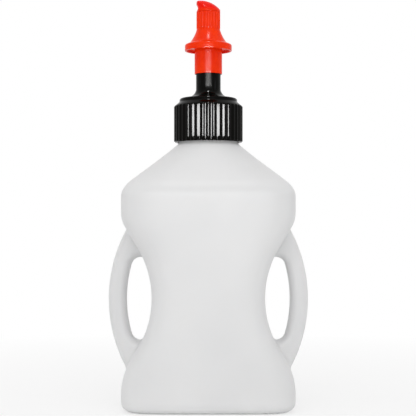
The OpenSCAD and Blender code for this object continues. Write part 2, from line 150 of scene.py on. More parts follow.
def grid_quads(rows: int, columns: int, rows_wrap: bool) -> Array:
    """Quads between the points of a grid.

    Args:
        rows: Number of rows.
        columns: Number of points in each row, which wraps round.
        rows_wrap: Whether the last row joins the first.

    Returns:
        Four point numbers for each quad.
    """
    i, j = np.meshgrid(np.arange(rows if rows_wrap else rows - 1), np.arange(columns), indexing="ij")
    above, beside = (i + 1) % rows, (j + 1) % columns
    square = [i * columns + j, i * columns + beside, above * columns + beside, above * columns + j]
    return np.stack(square, -1).reshape(-1, 4)


def spaced(outline: Array, step: float) -> Array:
    """A closed outline with points added along each stretch that is longer than step, evenly spaced."""
    ahead = np.roll(outline, -1, axis=0)
    counts = np.maximum(1, np.ceil(np.linalg.norm(ahead - outline, axis=1) / step)).astype(int)
    owner = np.repeat(np.arange(len(outline)), counts)
    place = np.arange(counts.sum()) - np.repeat(np.cumsum(counts) - counts, counts)
    return outline[owner] + (ahead - outline)[owner] * (place / counts[owner])[:, None]


def rounded(corners: Sequence[Triple], step: float, bends: int = 4) -> Array:
    """A closed outline through corners, with a rounding at each.

    A rounding runs from a point A on the edge before the corner C to a point B on the edge after, as
    (1-t)^2 A + 2t(1-t) C + t^2 B. A and B lie as far from C as the rounding says, and at most at EDGE_SHARE of
    an edge. A rounding of 0 leaves the corner as one point.

    Args:
        corners: Radius, height and length of the rounding at each corner, in order.
        step: Longest stretch between two points.
        bends: Steps in each rounding.

    Returns:
        Radius and height of each point.
    """
    table = np.array(corners, float)
    spot, reach = table[:, :2], table[:, 2]
    back, ahead = np.roll(spot, 1, axis=0) - spot, np.roll(spot, -1, axis=0) - spot
    back_length, ahead_length = np.linalg.norm(back, axis=1), np.linalg.norm(ahead, axis=1)
    share = np.minimum(reach, EDGE_SHARE * np.minimum(back_length, ahead_length))
    start = spot + back * (share / back_length)[:, None]
    stop = spot + ahead * (share / ahead_length)[:, None]
    t = np.linspace(0, 1, bends + 1)[None, :, None]
    curve = (1 - t) ** 2 * start[:, None] + 2 * t * (1 - t) * spot[:, None] + t**2 * stop[:, None]
    line = curve.reshape(-1, 2)
    return spaced(line[np.linalg.norm(line - np.roll(line, 1, axis=0), axis=1) > 1e-6], step)


def bow(start: Sequence[float], turn: Sequence[float], stop: Sequence[float], count: int) -> list[Triple]:
    """Unrounded corners along the curve (1-t)^2 start + 2t(1-t) turn + t^2 stop."""
    t = np.linspace(0, 1, count)[:, None]
    line = (1 - t) ** 2 * np.array(start) + 2 * t * (1 - t) * np.array(turn) + t**2 * np.array(stop)
    return [(r, z, 0.0) for r, z in line]


@dataclass(frozen=True)
class Ribs:
    """Ribs round the Z axis, with their middles half a pitch on from each whole pitch."""

    count: int
    height: float
    crest: float
    foot: float
    marks: int = 14

    def angles(self) -> Array:
        """Angles round the axis, closer together on the flanks: each pitch has the same marks.

        With u from 0 to 1 across a pitch, a mark lies at u - 0.3 sin(4 pi u) / (4 pi).
        """
        u = np.arange(self.marks) / self.marks
        mark = u - 0.3 * np.sin(4 * np.pi * u) / (4 * np.pi)
        return ((np.arange(self.count)[:, None] + mark) * (2 * np.pi / self.count)).reshape(-1)

    def wave(self, a: Array) -> Array:
        """1 on a crest and 0 between ribs, with a smooth flank between the two shares of the pitch.

        The distance from the nearest rib's middle, as a share of the pitch, is |frac(count a / 2 pi) - 1/2|.
        """
        away = np.abs(np.mod(self.count * a / (2 * np.pi), 1) - 0.5)
        return self.height * (1 - smoothstep(away, self.crest, self.foot))


def turned(outline: Array, angles: Array, relief: Relief) -> Surface:
    """A closed outline carried round the Z axis: (r cos a, r sin a, z).

    Args:
        outline: Radius and height of each point.
        angles: Angles round the axis.
        relief: Gives a new radius from the radius, the height and the angle, for ribs.

    Returns:
        A closed ring of a surface.
    """
    a = angles[None, :]
    z = np.repeat(outline[:, 1:], len(angles), axis=1)
    r = relief(np.repeat(outline[:, :1], len(angles), axis=1), z, a)
    points = np.stack([r * np.cos(a), r * np.sin(a), z], -1).reshape(-1, 3)
    return Surface(points, grid_quads(len(outline), len(angles), rows_wrap=True)).outward()


def swept(path: Array, section: Array, sizes: Array) -> Surface:
    """A section carried along a path round the Z axis, closed at both ends.

    Each section point is path + size * (u * radial + v * up), where radial points away from the axis.

    Args:
        path: Points of the path.
        section: Offsets (u, v) of the section's points.
        sizes: Factor on the section at each point of the path, as one column or as (u, v).

    Returns:
        The closed tube.
    """
    radial = path * [1, 1, 0]
    radial = radial / np.linalg.norm(radial, axis=1)[:, None]
    up = np.array([0, 0, 1.0])
    scaled = section[None] * sizes[:, None]
    points = path[:, None] + scaled[..., :1] * radial[:, None] + scaled[..., 1:] * up
    rows, columns = len(path), len(section)
    first, last = np.arange(columns), np.arange(columns) + (rows - 1) * columns
    quads = grid_quads(rows, columns, rows_wrap=False)
    return Surface(points.reshape(-1, 3), quads, [first[::-1], last]).outward()


def ridge(radius: float, foot: float, pitch: float, turns: float, section: Array) -> Surface:
    """A thread's ridge: a section along (r cos t, r sin t, z + pitch t / 2 pi), faded at both ends.

    Args:
        radius: Distance of the path from the axis.
        foot: Height of the path's start.
        pitch: Rise in one turn.
        turns: Number of turns.
        section: Offsets (out, up) of the section's points.

    Returns:
        The closed ridge.
    """
    t = np.linspace(0, turns, round(turns * RIDGE_STEPS) + 1)
    angle = 2 * np.pi * t
    path = np.stack([radius * np.cos(angle), radius * np.sin(angle), foot + pitch * t], -1)
    fade = smoothstep(np.minimum(t, turns - t), 0, RIDGE_FADE)
    return swept(path, section, np.stack([np.maximum(fade, 0.05), 0.4 + 0.6 * fade], -1))


def smoothstep(value: Array, start: float, stop: float) -> Array:
    """0 up to start, 1 from stop, and 3t^2 - 2t^3 between them."""
    t = np.clip((value - start) / (stop - start), 0, 1)
    return t * t * (3 - 2 * t)


# Solids given by a distance that is below 0 inside


def common(a: Array, b: Array, radius: float) -> Array:
    """What two solids share, with an edge of the given radius: the length of (a + r, b + r) less r."""
    inner = np.minimum(np.maximum(a, b), -radius)
    return inner + np.hypot(np.maximum(a + radius, 0), np.maximum(b + radius, 0))


def together(a: Array, b: Array, radius: float) -> Array:
    """Two solids in one, with a fillet of the given radius between them."""
    return -common(-a, -b, radius)


def without(a: Array, b: Array, radius: float) -> Array:
    """The first solid less the second, with an edge of the given radius."""
    return common(a, -b, radius)


def slope_of(shape: Field, points: Array, reach: float) -> Array:
    """Gradient of a distance at each point, from its values at plus and minus reach along each axis."""
    steps = np.eye(3) * reach
    sides = [shape(*(points + step).T) - shape(*(points - step).T) for step in steps]
    return np.stack(sides, -1) / (2 * reach)


def settled(shape: Field, points: Array, reach: float, rounds: int) -> Array:
    """Points moved onto the surface, each round by the distance times the gradient over its square."""
    for _ in range(rounds):
        slope = slope_of(shape, points, reach)
        gain = shape(*points.T) / np.maximum((slope**2).sum(1), 1e-9)
        points = points - slope * np.clip(gain, -LONGEST_MOVE, LONGEST_MOVE)[:, None]
    return points


def evened(points: Array, quads: Array) -> Array:
    """Points moved to the mean of their neighbours along the quads' edges."""
    pairs = np.concatenate([quads, np.roll(quads, -1, axis=1)], 0).reshape(2, -1)
    start, stop = np.concatenate([pairs[0], pairs[1]]), np.concatenate([pairs[1], pairs[0]])
    count = np.bincount(start, minlength=len(points))[:, None]
    total = np.stack([np.bincount(start, points[stop, k], len(points)) for k in range(3)], -1)
    return total / np.maximum(count, 1)


def net(shape: Field, low: Sequence[float], high: Sequence[float], step: float, polish: int = 3) -> Surface:
    """The surface on which a distance is 0, as quads between the cells of a cubic lattice that it crosses.

    Each crossed cell gets one point, at the mean of the places where the cell's edges cross the surface, and
    each crossed lattice edge gets the quad between its four cells. The points are then evened out and settled
    on the surface in turn. Where the solid leaves the lattice, the surface stays open.

    Args:
        shape: Distance, below 0 inside.
        low: Lowest corner of the lattice.
        high: Highest corner of the lattice.
        step: Size of a cell.
        polish: Rounds of evening and settling.

    Returns:
        The surface, with outward faces.
    """
    axes = [np.arange(a, b + step / 2, step) for a, b in zip(low, high)]
    value = shape(*np.meshgrid(*axes, indexing="ij"))
    inside = value < 0
    cells = np.array(value.shape) - 1
    total, count = np.zeros((*cells, 3)), np.zeros(cells)
    for axis in range(3):
        for corner in np.ndindex(2, 2):
            offset = np.insert(np.array(corner), axis, 0)
            near = tuple(slice(o, o + n) for o, n in zip(offset, cells))
            offset[axis] = 1
            far = tuple(slice(o, o + n) for o, n in zip(offset, cells))
            offset[axis] = 0
            crossed = inside[near] != inside[far]
            share = value[near][crossed] / (value[near][crossed] - value[far][crossed])
            total[crossed] += offset + share[:, None] * np.eye(3)[axis]
            count[crossed] += 1
    used = count > 0
    number = np.full(cells, -1)
    number[used] = np.arange(used.sum())
    points = np.array(low) + step * (np.argwhere(used) + total[used] / count[used][:, None])
    quads = []
    for axis in range(3):
        one, two = (axis + 1) % 3, (axis + 2) % 3
        near, far = [slice(1, -1)] * 3, [slice(1, -1)] * 3
        near[axis], far[axis] = slice(0, -1), slice(1, None)
        start, stop = inside[tuple(near)], inside[tuple(far)]
        ring = []
        for a, b in ((0, 0), (1, 0), (1, 1), (0, 1)):
            pick = [slice(None)] * 3
            pick[one], pick[two] = slice(a, cells[one] - 1 + a), slice(b, cells[two] - 1 + b)
            ring.append(number[tuple(pick)])
        ring = np.stack(ring, -1)
        quads += [ring[start & ~stop], ring[stop & ~start][:, ::-1]]
    faces = np.concatenate(quads)
    points = settled(shape, points, 0.1 * step, 2)
    for _ in range(polish):
        points = settled(shape, evened(points, faces), 0.1 * step, 3)
    return Surface(points, faces)


def open_edges(quads: Array) -> Array:
    """Directed edges that only one quad has, as pairs of point numbers."""
    edges = np.stack([quads, np.roll(quads, -1, axis=1)], -1).reshape(-1, 2)
    key = np.sort(edges, axis=1)
    _, place, count = np.unique(key, axis=0, return_inverse=True, return_counts=True)
    return edges[count[place.reshape(-1)] == 1]


# Finishes


@dataclass
class Shader:
    """A material's node tree, with a principled surface to dress."""

    name: str

    def __post_init__(self) -> None:
        """Make the material and keep its surface node."""
        self.material = bpy.data.materials.new(self.name)
        self.material.use_nodes = True
        self.tree = self.material.node_tree
        self.surface = self.tree.nodes["Principled BSDF"]
        self.place = self.tree.nodes.new("ShaderNodeTexCoord").outputs["Object"]

    def add(self, kind: str, **inputs: object) -> bpy.types.Node:
        """A node of the given kind, with sockets (a name) and properties (a name that starts with p_) set.

        Args:
            kind: Blender's name of the node, without ShaderNode.
            **inputs: Values, or output sockets to link, by the socket's name with _ for a blank.

        Returns:
            The node.
        """
        node = self.tree.nodes.new("ShaderNode" + kind)
        for key, value in inputs.items():
            if key.startswith("p_"):
                setattr(node, key[2:], value)
        for key, value in inputs.items():
            if not key.startswith("p_"):
                self.put(node, key, value)
        return node

    def put(self, node: bpy.types.Node, key: str, value: object) -> None:
        """Set or link one socket of a node; i0, i1 and i2 name a socket by its place."""
        place = int(key[1:]) if key[0] == "i" and key[1:].isdigit() else key.replace("_", " ")
        socket = node.inputs[place]
        if isinstance(value, Socket):
            self.tree.links.new(value, socket)
        else:
            socket.default_value = value

    def noise(self, scale: float, stretch: Triple = (1, 1, 1), detail: float = 3) -> Socket:
        """Noise in the jug's own frame, with its pattern squeezed by stretch along each axis."""
        mapped = self.add("Mapping", Vector=self.place, Scale=stretch)
        return self.add("TexNoise", Vector=mapped.outputs[0], Scale=scale, Detail=detail).outputs["Fac"]

    def ranged(self, value: Socket, low: float, high: float, start: float = 0.35,
               stop: float = 0.65) -> Socket:
        """A value carried from the range start to stop over to the range low to high, held at its ends."""
        return self.add("MapRange", i0=value, i1=start, i2=stop, i3=low, i4=high).outputs[0]

    def math(self, operation: str, first: object, second: object = 0.0) -> Socket:
        """One sum on two values."""
        return self.add("Math", p_operation=operation, i0=first, i1=second).outputs[0]

    def tint(self, share: Socket, one: object, two: Sequence[float]) -> Socket:
        """A colour between a first colour, or a socket that gives one, and a second colour."""
        node = self.add("Mix", p_data_type="RGBA", Factor=share)
        self.put(node, "i6", one if isinstance(one, Socket) else (*one, 1))
        self.put(node, "i7", (*two, 1))
        return node.outputs[2]

    def bumps(self, heights: Sequence[tuple[Socket, float]]) -> None:
        """Link bumps to the surface, each a pattern from 0 to 1 and its height in millimetres."""
        normal = None
        for pattern, height in heights:
            node = self.add("Bump", Height=pattern, Distance=height * MM, Strength=1.0)
            if normal is not None:
                self.tree.links.new(normal, node.inputs["Normal"])
            normal = node.outputs["Normal"]
        self.tree.links.new(normal, self.surface.inputs["Normal"])

    def dress(self, **inputs: object) -> None:
        """Set or link sockets of the surface."""
        for key, value in inputs.items():
            self.put(self.surface, key, value)

    def axis(self, name: str) -> Socket:
        """One coordinate of the place on the object, in metres."""
        return self.add("SeparateXYZ", Vector=self.place).outputs[name]


@dataclass(frozen=True)
class BlownPolyethylene:
    """Natural polyethylene blown in a two-part mould: milky, softly glossy, parted at y = 0."""

    pale: Triple = (0.78, 0.78, 0.78)
    dull: Triple = (0.745, 0.746, 0.748)
    scatter_mm: float = 5.0
    parting_half_w: float = 0.55
    parting_h: float = 0.25

    def material(self) -> bpy.types.Material:
        """The material, with cloudy tone, mould grain, slight ripples and the parting line."""
        shader = Shader("blown_polyethylene")
        cloud = shader.noise(9, detail=2)
        ripple = shader.noise(22, (1, 1, 0.5), detail=1)
        grain = shader.noise(1500, detail=2)
        side = shader.math("ABSOLUTE", shader.axis("Y"))
        line = shader.add("MapRange", p_interpolation_type="SMOOTHSTEP", i0=side, i1=0.0,
                          i2=self.parting_half_w * MM, i3=1.0, i4=0.0).outputs[0]
        shader.bumps([(ripple, 0.35), (grain, 0.012), (line, self.parting_h)])
        shader.dress(
            Base_Color=shader.tint(shader.ranged(cloud, 0, 1), self.pale, self.dull),
            Roughness=shader.ranged(grain, 0.38, 0.46),
            Subsurface_Weight=0.35,
            Subsurface_Radius=(1.0, 0.97, 0.92),
            Subsurface_Scale=self.scatter_mm * MM,
            IOR=1.155,
        )
        return shader.material


@dataclass(frozen=True)
class GlossBlack:
    """Glossy black moulding, dulled and scuffed along the stem above a height."""

    colour: Triple = (0.0024, 0.0022, 0.0018)
    worn: Triple = (0.012, 0.012, 0.013)
    stem_z: float = 407.0

    def material(self) -> bpy.types.Material:
        """The material, with flow marks, and scratches along the stem."""
        shader = Shader("gloss_black_moulding")
        stem = shader.ranged(shader.axis("Z"), 0, 1, self.stem_z * MM - 0.004, self.stem_z * MM + 0.004)
        flow = shader.noise(60, (1, 1, 0.35), detail=3)
        scratch = shader.noise(420, (1, 1, 0.07), detail=4)
        scuffs = shader.math("MULTIPLY", stem, shader.ranged(scratch, 0, 1, 0.56, 0.72))
        fine = shader.noise(900, detail=2)
        gloss = shader.ranged(flow, 0.07, 0.13)
        rough = shader.math("ADD", gloss, shader.math("MULTIPLY", stem, 0.08))
        shader.bumps([(flow, 0.02), (fine, 0.002), (scuffs, 0.03)])
        shader.dress(
            Base_Color=shader.tint(scuffs, self.colour, self.worn),
            Roughness=shader.math("ADD", rough, shader.math("MULTIPLY", scuffs, 0.15)),
            IOR=1.13,
        )
        return shader.material


@dataclass(frozen=True)
class GlossRed:
    """Glossy orange-red moulding, with flow marks, cloudy tone, and painted shade: a deeper red on the head's
    dome.
    """

    colour: Triple = (0.94, 0.042, 0.004)
    deep: Triple = (0.88, 0.030, 0.003)
    # Painted shade: the deeper red that the dome's face shows from how the light falls on it, from a height up
    dome: Triple = (0.90, 0.010, 0.004)
    dome_shade_foot_z: float = 510.0
    dome_shade_z: float = 515.0

    def material(self) -> bpy.types.Material:
        """The material, with fine unevenness that breaks its highlights."""
        shader = Shader("gloss_red_moulding")
        cloud = shader.noise(70, detail=3)
        flow = shader.noise(160, (1, 1, 0.4), detail=3)
        grain = shader.noise(1400, detail=2)
        # Painted shade: a mask from 0 to 1 up the head that turns the red into the deeper dome red
        height = shader.ranged(shader.axis("Z"), 0, 1, self.dome_shade_foot_z * MM, self.dome_shade_z * MM)
        red = shader.tint(shader.ranged(cloud, 0, 1), self.colour, self.deep)
        shader.bumps([(flow, 0.07), (grain, 0.004)])
        shader.dress(
            Base_Color=shader.tint(height, red, self.dome),
            Roughness=shader.ranged(flow, 0.15, 0.25),
            IOR=1.135,
        )
        return shader.material


@dataclass(frozen=True)
class SealRubber:
    """Matt black rubber with a dusty bloom."""

    colour: Triple = (0.018, 0.018, 0.018)
    bloom: Triple = (0.045, 0.044, 0.042)

    def material(self) -> bpy.types.Material:
        """The material, with a fine moulded grain."""
        shader = Shader("seal_rubber_finish")
        bloom, grain = shader.noise(120, detail=4), shader.noise(2500, detail=2)
        shader.bumps([(grain, 0.01)])
        shader.dress(
            Base_Color=shader.tint(shader.ranged(bloom, 0, 1), self.colour, self.bloom),
            Roughness=shader.ranged(bloom, 0.5, 0.7),
        )
        return shader.material


@dataclass(frozen=True)
class DrawnMetal:
    """Bright metal with draw marks along one direction."""

    name: str
    colour: Triple
    stain: Triple
    stretch: Triple

    def material(self) -> bpy.types.Material:
        """The material, with draw marks in its roughness and bump."""
        shader = Shader(self.name)
        marks, stain = shader.noise(900, self.stretch, detail=4), shader.noise(90, detail=3)
        shader.bumps([(marks, 0.008)])
        shader.dress(
            Base_Color=shader.tint(shader.ranged(stain, 0, 1), self.colour, self.stain),
            Roughness=shader.ranged(marks, 0.22, 0.38),
            Metallic=1.0,
        )
        return shader.material


@dataclass(frozen=True)
class ExtrudedTube:
    """Dark flexible tube with faint lines along it."""

    colour: Triple = (0.030, 0.031, 0.034)
    pale: Triple = (0.055, 0.056, 0.06)

    def material(self) -> bpy.types.Material:
        """The material, with extrusion lines."""
        shader = Shader("extruded_tube")
        lines = shader.noise(800, (1, 1, 0.02), detail=3)
        shader.bumps([(lines, 0.01)])
        shader.dress(
            Base_Color=shader.tint(shader.ranged(lines, 0, 1), self.colour, self.pale),
            Roughness=shader.ranged(lines, 0.35, 0.5),
        )
        return shader.material


# Pieces


@dataclass
class Levels:
    """Heights that several pieces share, up the neck and the stem."""

    neck_foot: float = 338.0
    neck_h: float = 45.0
    thread_foot: float = 14.0
    thread_drop: float = 2.7
    thread_pitch: float = 6.0
    thread_turns: float = 1.75
    gasket_h: float = 3.0
    cap_foot_gap: float = 2.5
    rib_rise: float = 0.8
    stem_foot_h: float = 22.0
    stem_flare_h: float = 9.0
    spider_drop: float = 5.0
    travel: float = 20.0
    foot_gap: float = 1.2
    collar_h: float = 30.2
    brim_h: float = 5.6
    brim_round_h: float = 4.0
    bell_h: float = 20.0
    tip_h: float = 20.4
    ledge_drop: float = 0.5
    stem_gap: float = 1.5
    shut_gap: float = 0.2

    def __post_init__(self) -> None:
        """Add the heights up, from the neck's foot to the valve head."""
        self.rim = self.neck_foot + self.neck_h
        self.seat = self.rim + self.gasket_h
        self.rib_top = self.seat + self.rib_rise
        self.cap_foot = self.neck_foot + self.cap_foot_gap
        self.stem_foot = self.seat + self.stem_foot_h
        self.cap_top = self.stem_foot - self.stem_flare_h
        self.spider_top = self.stem_foot - self.spider_drop
        self.sleeve_foot = self.stem_foot + self.travel + self.foot_gap
        self.brim = self.sleeve_foot + self.collar_h
        self.bell = self.brim + self.brim_h + self.brim_round_h
        self.tip = self.bell + self.bell_h
        self.sleeve_top = self.tip + self.tip_h
        self.ledge = self.bell + self.bell_h / 2 - self.ledge_drop
        self.stem_top = self.ledge - self.travel - self.stem_gap
        self.head = self.sleeve_top + self.shut_gap


@dataclass
class JugBody:
    """The blown tank: a waisted body with a sloped shoulder, two hollow handles, and a threaded neck."""

    levels: Levels
    body_w: float = 220.0
    body_d: float = 190.0
    waist_w: float = 143.0
    waist_z: float = 141.0
    waist_r: float = 122.0
    side_slope: float = 31.0
    upper_bend_r: float = 36.0
    lower_bend_r: float = 80.0
    shoulder_z: float = 279.0
    shoulder_round: float = 10.0
    foot_r: float = 12.0
    foot_ring_w: float = 10.0
    foot_ring_round: float = 3.0
    push_up_h: float = 4.0
    push_up_round: float = 1.0
    squareness: float = 6.5
    wall: float = 3.0
    neck_wall: float = 3.5
    neck_wall_z: float = 45.0
    neck_wall_lead: float = 5.0
    neck_r: float = 38.0
    neck_flare: float = 1.5
    neck_fillet: float = 2.5
    neck_overlap: float = 8.0
    handle_reach: float = 19.0
    handle_r: float = 188.0
    handle_z: float = 138.0
    handle_half_h: float = 96.0
    handle_w: float = 23.0
    handle_d: float = 30.0
    handle_edge_r: float = 9.5
    hole_half_h: float = 54.0
    hole_end_r: float = 8.5
    root_fillet: float = 4.0
    thread_h: float = 1.5
    cell: float = 2.9

    def __post_init__(self) -> None:
        """Work the side's outline out: heights with the half-width, half-depth and squareness there."""
        half_w, half_d, waist = self.body_w / 2, self.body_d / 2, self.waist_w / 2
        foot = self.levels.neck_foot
        slope = math.radians(self.side_slope)
        neck = self.neck_r + self.neck_flare

        def arc(x: float, z: float, r: float, start: float, stop: float) -> Array:
            """Points (x, z) of an arc, from one angle to another in degrees."""
            t = np.radians(np.linspace(start, stop, 25))
            return np.stack([x + r * np.cos(t), z + r * np.sin(t)], -1)

        def rise(bend_r: float) -> float:
            """Height from the waist to the start of a bend."""
            both = self.waist_r + bend_r
            run = (half_w - waist - both * (1 - math.cos(slope))) / math.sin(slope)
            return both * math.sin(slope) + run * math.cos(slope)

        upper, lower = self.waist_z + rise(self.upper_bend_r), self.waist_z - rise(self.lower_bend_r)
        angle = self.side_slope
        side = np.concatenate([
            arc(half_w - self.lower_bend_r, lower, self.lower_bend_r, 0, angle),
            arc(waist + self.waist_r, self.waist_z, self.waist_r, 180 + angle, 180 - angle),
            arc(half_w - self.upper_bend_r, upper, self.upper_bend_r, -angle, 0),
        ])
        base = arc(-self.foot_r, self.foot_r, self.foot_r, -90, 0)
        t = np.linspace(0, 1, 25)[1:]
        share = self.shoulder_round / (foot - self.shoulder_z)
        edge_z = self.shoulder_z - self.shoulder_round * (1 - t) ** 2 + self.shoulder_round * t**2
        run = share + (1 - share) * t
        top_z = self.shoulder_z + (foot - self.shoulder_z) * run
        top_square = self.squareness + (2 - self.squareness) * np.sin(np.pi / 2 * t)
        shoulder = np.concatenate([t * t * share, run])
        square = np.full(len(base) + len(side) + len(t), self.squareness)
        self.heights = np.concatenate([base[:, 1], side[:, 1], edge_z, top_z])
        self.widths = np.concatenate([half_w + base[:, 0], side[:, 0], half_w + (neck - half_w) * shoulder])
        deep = np.concatenate([half_d + base[:, 0], np.full(len(side), half_d)])
        self.depths = np.concatenate([deep, half_d + (neck - half_d) * shoulder])
        self.squares = np.concatenate([square, top_square])

    def section(self, x: Array, y: Array, half_w: Array, half_d: Array, power: Array) -> Array:
        """Distance from a superellipse: from the axis to the point, less the way to the outline there.

        The outline is where (|x| / half_w)^power + (|y| / half_d)^power is 1.
        """
        out = np.hypot(x, y)
        scale = ((np.abs(x) / half_w) ** power + (np.abs(y) / half_d) ** power) ** (1 / power)
        return out * (1 - 1 / np.maximum(scale, 1e-6))

    def tank(self, x: Array, y: Array, z: Array) -> Array:
        """The tank without handles and neck: a section at each height, and the hollow under the base."""
        level = np.clip(z, self.heights[0], self.heights[-1])
        half_w = np.interp(level, self.heights, self.widths)
        half_d = np.interp(level, self.heights, self.depths)
        power = np.interp(level, self.heights, self.squares)
        side = self.section(x, y, half_w, half_d, power)
        body = np.maximum(np.maximum(side, -z), z - self.heights[-1])
        inset = self.foot_r + self.foot_ring_w + np.clip(z, 0, self.push_up_h)
        hollow = self.section(x, y, self.body_w / 2 - inset, self.body_d / 2 - inset, self.squareness)
        return without(body, common(hollow, z - self.push_up_h, self.push_up_round), self.foot_ring_round)

    def handle(self, x: Array, y: Array, z: Array) -> Array:
        """Both handles: a rounded bow in the middle plane, with a finger hole between it and the waist."""
        centre = self.body_w / 2 + self.handle_reach - self.handle_r
        level = np.abs(z - self.handle_z)
        out = np.hypot(np.abs(x) - centre, level)
        hole = common(out - (self.handle_r - self.handle_w), level - self.hole_half_h, self.hole_end_r)
        bow = np.maximum(without(out - self.handle_r, hole, 0.5), level - self.handle_half_h)
        return common(bow, np.abs(y) - self.handle_d / 2, self.handle_edge_r)

    def shape(self, x: Array, y: Array, z: Array) -> Array:
        """The whole moulding's outside, without its thread."""
        body = together(self.tank(x, y, z), self.handle(x, y, z), self.root_fillet)
        neck = np.maximum(np.hypot(x, y) - self.neck_r, self.levels.neck_foot - self.neck_overlap - z)
        return together(body, neck, self.neck_fillet)

    def shell(self) -> Surface:
        """The hollow moulding: its outside, its inside a wall's thickness behind it, and the neck's rim."""
        rim, step = self.levels.rim, self.cell
        half_w, half_d = self.body_w / 2 + self.handle_reach, self.body_d / 2
        columns = math.ceil((half_w + step) / step) * step
        rows = math.ceil((half_d + step) / step) * step
        layers = math.ceil((rim + step) / step)
        low, high = (-columns, -rows, rim + step / 2 - layers * step), (columns, rows, rim + step / 2)
        outside = net(self.shape, low, high, step)
        points, quads = outside.points, outside.quads
        edges = open_edges(quads)
        lip = np.unique(edges)
        points[lip, 2] = rim
        points[lip, :2] *= (self.neck_r / np.hypot(points[lip, 0], points[lip, 1]))[:, None]
        slope = slope_of(self.shape, points, 0.3)
        slope[lip, 2] = 0
        normal = slope / np.linalg.norm(slope, axis=1)[:, None]
        change_z, lead = rim - self.neck_wall_z, self.neck_wall_lead
        thicker = smoothstep(points[:, 2], change_z - lead, change_z + lead)
        depth = self.wall + (self.neck_wall - self.wall) * thicker
        count = len(points)
        band = np.stack([edges[:, 1], edges[:, 0], edges[:, 0] + count, edges[:, 1] + count], -1)
        every = np.concatenate([quads, quads[:, ::-1] + count, band])
        return Surface(np.concatenate([points, points - normal * depth[:, None]]), every)

    def thread(self) -> Surface:
        """The neck's ridge, rounded and facing outwards."""
        at = self.levels
        section = np.array([(-0.6, -1.5), (0.0, -1.45), (0.8, -1.1), (1.35, -0.8), (self.thread_h, -0.4),
                            (self.thread_h, 0.4), (1.35, 0.8), (0.8, 1.1), (0.0, 1.45), (-0.6, 1.5)])
        foot = at.neck_foot + at.thread_foot
        return ridge(self.neck_r, foot, at.thread_pitch, at.thread_turns, section)

    def build(self) -> None:
        """Make the moulding."""
        surface = self.shell().joined(self.thread())
        surface.piece("jug_shell", Body.JUG, "jug_body", Slot.TANK, BlownPolyethylene().material())


@dataclass
class ScrewCap:
    """The black cap: a ribbed skirt, a stepped shoulder and the hollow stem, in one moulding."""

    levels: Levels
    bore_r: float = 40.0
    wall: float = 3.4
    grip: Ribs = Ribs(count=38, height=1.2, crest=0.02, foot=0.48)
    rim_h: float = 0.9
    thread_h: float = 1.5
    step_r: float = 37.3
    stem_flare_w: float = 9.5
    stem_r: float = 16.0
    stem_bore_r: float = 12.0
    spider_step: float = 1.5
    recess_r: float = 33.0
    groove_floor_r: float = 14.35
    groove_half_h: float = 1.1
    ring_inset: float = 5.0
    ring_step: float = 6.0

    def outline(self) -> Array:
        """The cap's turned outline, up its outside and down its inside."""
        at = self.levels
        root = self.bore_r + self.wall
        crest = root + self.grip.height
        rib_top = at.rib_top
        rib_foot = at.cap_foot + self.rim_h
        ledge = at.cap_top
        chamfer = self.step_r + 0.4
        flare = bow((self.stem_r + self.stem_flare_w, ledge), (self.stem_r + 1.6, ledge + 2.9),
                    (self.stem_r, at.stem_foot + 0.8), 9)
        groove = self.groove_half_h
        rings = [at.stem_top - self.ring_inset - self.ring_step, at.stem_top - self.ring_inset]
        grooves = [corner for z in rings for corner in (
            (self.stem_r, z - groove, 0.1), (self.groove_floor_r, z - groove, 0.1),
            (self.groove_floor_r, z + groove, 0.1), (self.stem_r, z + groove, 0.1))]
        recess = ledge - 5
        rows = [rib_foot + rise for rise in (0, 0.35, 0.8)] + [rib_top + rise for rise in (-0.8, -0.2, 0.3, 1.0)]
        rib_rows = [(root, z, 0.0) for z in rows]
        corners = [
            (root, at.cap_foot, 0.5), *rib_rows, (root, rib_top + self.grip.height, 2.6),
            (chamfer, rib_top + crest - chamfer - 0.9, 0.8), (self.step_r, ledge - 1.75, 2.85),
            *flare, *grooves,
            (self.stem_r, at.stem_top - 1.2, 0.4), (self.stem_r - 1.2, at.stem_top, 0.4),
            (self.stem_bore_r, at.stem_top, 0.5), (self.stem_bore_r, at.spider_top, 0.2),
            (self.stem_bore_r + self.spider_step, at.spider_top, 0.2),
            (self.stem_bore_r + self.spider_step, recess, 0.5), (self.recess_r - 3, recess, 1.0),
            (self.recess_r, recess - 2, 1.0), (self.recess_r, at.seat, 0.4), (self.bore_r, at.seat, 0.5),
            (self.bore_r, at.cap_foot + 1, 0.4), (self.bore_r + 1, at.cap_foot, 0.3),
        ]
        return rounded(corners, step=4.0, bends=3)

    def ribs(self, r: Array, z: Array, a: Array) -> Array:
        """Grip ribs, faded in above the rim and cut off under the chamfer's cone."""
        root = self.bore_r + self.wall
        rib_top = self.levels.rib_top
        foot = self.levels.cap_foot + self.rim_h
        skirt = (r > root - 0.9) & (z < rib_top + self.grip.height)
        rise = smoothstep(z, foot - 0.1, foot + 0.6)
        cone = root + self.grip.height + rib_top - 0.2 - z
        return np.where(skirt, np.maximum(r, np.minimum(r + self.grip.wave(a) * rise, cone)), r)

    def thread(self) -> Surface:
        """The cap's own ridge, just under the neck's, facing inwards."""
        at, height = self.levels, self.thread_h
        section = np.array([(0.6, -1.5), (0.0, -1.4), (-1.0, -1.0), (-height, -0.6),
                            (-height, 0.6), (-1.0, 1.0), (0.0, 1.4), (0.6, 1.5)])
        foot = at.neck_foot + at.thread_foot - at.thread_drop
        return ridge(self.bore_r, foot, at.thread_pitch, at.thread_turns, section)

    def build(self) -> None:
        """Make the cap."""
        surface = turned(self.outline(), self.grip.angles(), self.ribs).joined(self.thread())
        surface.piece("ribbed_cap", Body.CAP, "screw_cap", Slot.CAP, GlossBlack().material())


